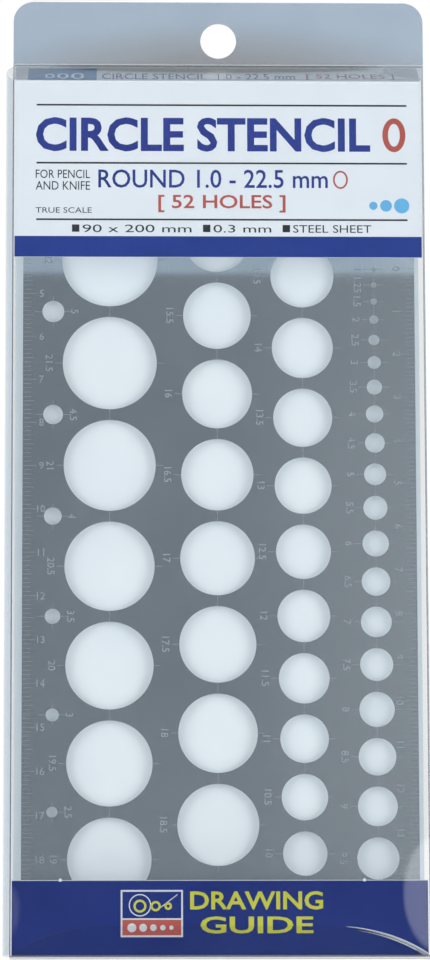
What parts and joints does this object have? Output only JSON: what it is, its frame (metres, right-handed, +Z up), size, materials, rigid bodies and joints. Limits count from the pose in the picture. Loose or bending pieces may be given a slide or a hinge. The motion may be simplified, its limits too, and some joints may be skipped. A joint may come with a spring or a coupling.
{
  "type": "circle template",
  "caption": "Etched steel circle template with graded round holes and edge scales, in a clear film carton with a folded printed card and a hang tab that takes a display hook.",
  "frame": {"origin": "middle of the carton's bottom, the lowest plane of the pack, in the middle of its outside width and depth", "axes": "+Z up to the hang tab, -Y out of the printed front, +X to the right seen from the front"},
  "size_m": [0.0968, 0.0124, 0.2218],
  "materials": {
    "clear_film": "clear blue-grey plastic film, glossy",
    "plain_card": "white coated card, satin",
    "printed_card": "white coated card with blue, red and black print, satin",
    "blue_card": "coated card printed deep blue, satin",
    "etched_steel": "cold-rolled stainless sheet, fine satin, etched marks"
  },
  "bodies": {
    "carton": {"front_panel": "clear_film", "back_panel": "clear_film", "right_side_panel": "clear_film", "left_side_panel": "clear_film", "glue_flap": "clear_film", "hang_tab_back_layer": "clear_film", "insert_back_panel": "plain_card", "insert_top_strip": "printed_card", "insert_header_panel": "printed_card", "insert_bottom_strip": "blue_card", "insert_bottom_panel": "blue_card"},
    "top_lid": {"top_lid": "clear_film"},
    "hang_tab_front_layer": {"hang_tab_front_layer": "clear_film"},
    "top_dust_flap_left": {"top_dust_flap_left": "clear_film"},
    "top_dust_flap_right": {"top_dust_flap_right": "clear_film"},
    "bottom_lid": {"bottom_lid": "clear_film"},
    "bottom_tuck_flap": {"bottom_tuck_flap": "clear_film"},
    "bottom_dust_flap_left": {"bottom_dust_flap_left": "clear_film"},
    "bottom_dust_flap_right": {"bottom_dust_flap_right": "clear_film"},
    "template": {"template_plate": "etched_steel"}
  },
  "joints": [
    {"name": "top_lid_hinge", "type": "hinge", "parent": "carton", "child": "top_lid", "pos_m": [0, -0.0061, 0.20045], "axis": [1, 0, 0], "range_deg": [0, 100]},
    {"name": "tab_front_crease", "type": "hinge", "parent": "top_lid", "child": "hang_tab_front_layer", "pos_m": [0.00077, 0.0058, 0.20675], "axis": [1, 0, 0], "range_deg": [-35, 0]},
    {"name": "bottom_lid_hinge", "type": "hinge", "parent": "carton", "child": "bottom_lid", "pos_m": [0.00077, 0.0061, 0.0001], "axis": [1, 0, 0], "range_deg": [0, 90]},
    {"name": "bottom_tuck_crease", "type": "hinge", "parent": "bottom_lid", "child": "bottom_tuck_flap", "pos_m": [0.00028, -0.0055, 0.0001], "axis": [1, 0, 0], "range_deg": [-54, 0]},
    {"name": "top_dust_flap_left_crease", "type": "hinge", "parent": "carton", "child": "top_dust_flap_left", "pos_m": [-0.04665, -0.00003, 0.20338], "axis": [0.0111, -0.8837, -0.4679], "range_deg": [0, 60]},
    {"name": "bottom_dust_flap_left_crease", "type": "hinge", "parent": "carton", "child": "bottom_dust_flap_left", "pos_m": [-0.04665, 0.0003, 0.00035], "axis": [-0.0129, 0.9999, 0], "range_deg": [0, 54]},
    {"name": "top_dust_flap_right_crease", "type": "hinge", "parent": "carton", "child": "top_dust_flap_right", "pos_m": [0.0477, -0.00003, 0.20338], "axis": [0.0851, 0.8806, 0.4662], "range_deg": [0, 60]},
    {"name": "bottom_dust_flap_right_crease", "type": "hinge", "parent": "carton", "child": "bottom_dust_flap_right", "pos_m": [0.0477, 0.0003, 0.00035], "axis": [-0.0987, -0.9951, 0], "range_deg": [0, 54]},
    {"name": "template_slide", "type": "slide", "parent": "carton", "child": "template", "axis": [0, 0, 1], "range_m": [-0.0013, 0.0023]}
  ],
  "couplings": [
    {"joint": "tab_front_crease", "follows": "top_lid_hinge", "ratio": -0.35},
    {"joint": "bottom_tuck_crease", "follows": "bottom_lid_hinge", "ratio": -0.6},
    {"joint": "top_dust_flap_left_crease", "follows": "top_lid_hinge", "ratio": 0.6},
    {"joint": "bottom_dust_flap_left_crease", "follows": "bottom_lid_hinge", "ratio": 0.6},
    {"joint": "top_dust_flap_right_crease", "follows": "top_lid_hinge", "ratio": 0.6},
    {"joint": "bottom_dust_flap_right_crease", "follows": "bottom_lid_hinge", "ratio": 0.6}
  ]
}
